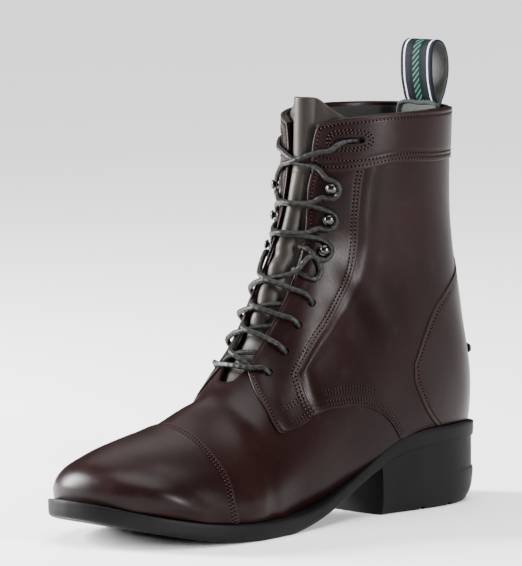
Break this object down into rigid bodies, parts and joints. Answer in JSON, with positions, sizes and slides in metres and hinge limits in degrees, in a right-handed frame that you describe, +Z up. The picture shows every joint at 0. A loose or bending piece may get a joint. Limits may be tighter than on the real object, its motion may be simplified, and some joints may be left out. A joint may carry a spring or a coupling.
{
  "type": "lace-up paddock boot",
  "caption": "Ankle-high lace-up riding boot for the left foot, with a hollow leather upper, toe cap, tongue, lacing, stacked rubber heel and pull loop.",
  "frame": {"origin": "on the floor under the heel, on the flat tread of the heel", "axes": "+X to the toe, +Y to the outer side of the boot, +Z up"},
  "size_m": [0.272, 0.0949, 0.2418],
  "materials": {
    "upper_leather": "smooth waxed full grain",
    "overlay_leather": "smooth waxed full grain",
    "tongue_leather": "soft satin",
    "lining": "matt",
    "rubber": "satin",
    "cord": "waxed",
    "gunmetal": "polished dark",
    "webbing": "woven"
  },
  "bodies": {
    "root": {"upper": "upper_leather", "toe_cap": "overlay_leather", "eyestay_outer": "overlay_leather", "eyestay_inner": "overlay_leather", "quarter_outer": "overlay_leather", "quarter_inner": "overlay_leather", "cuff_outer": "overlay_leather", "cuff_inner": "overlay_leather", "counter": "overlay_leather", "back_gore": "webbing", "spur_rest": "rubber", "tongue": "tongue_leather", "insole": "lining", "outsole": "rubber", "heel": "rubber", "hook_outer_1": "gunmetal", "hook_outer_2": "gunmetal", "hook_outer_3": "gunmetal", "hook_inner_1": "gunmetal", "hook_inner_2": "gunmetal", "hook_inner_3": "gunmetal", "lace_cross_1": "cord", "lace_cross_2": "cord", "lace_cross_3": "cord", "lace_cross_4": "cord", "lace_cross_5": "cord", "lace_cross_6": "cord", "lace_cross_7": "cord", "pull_loop": "webbing", "loop_patch": "lining"}
  },
  "joints": []
}
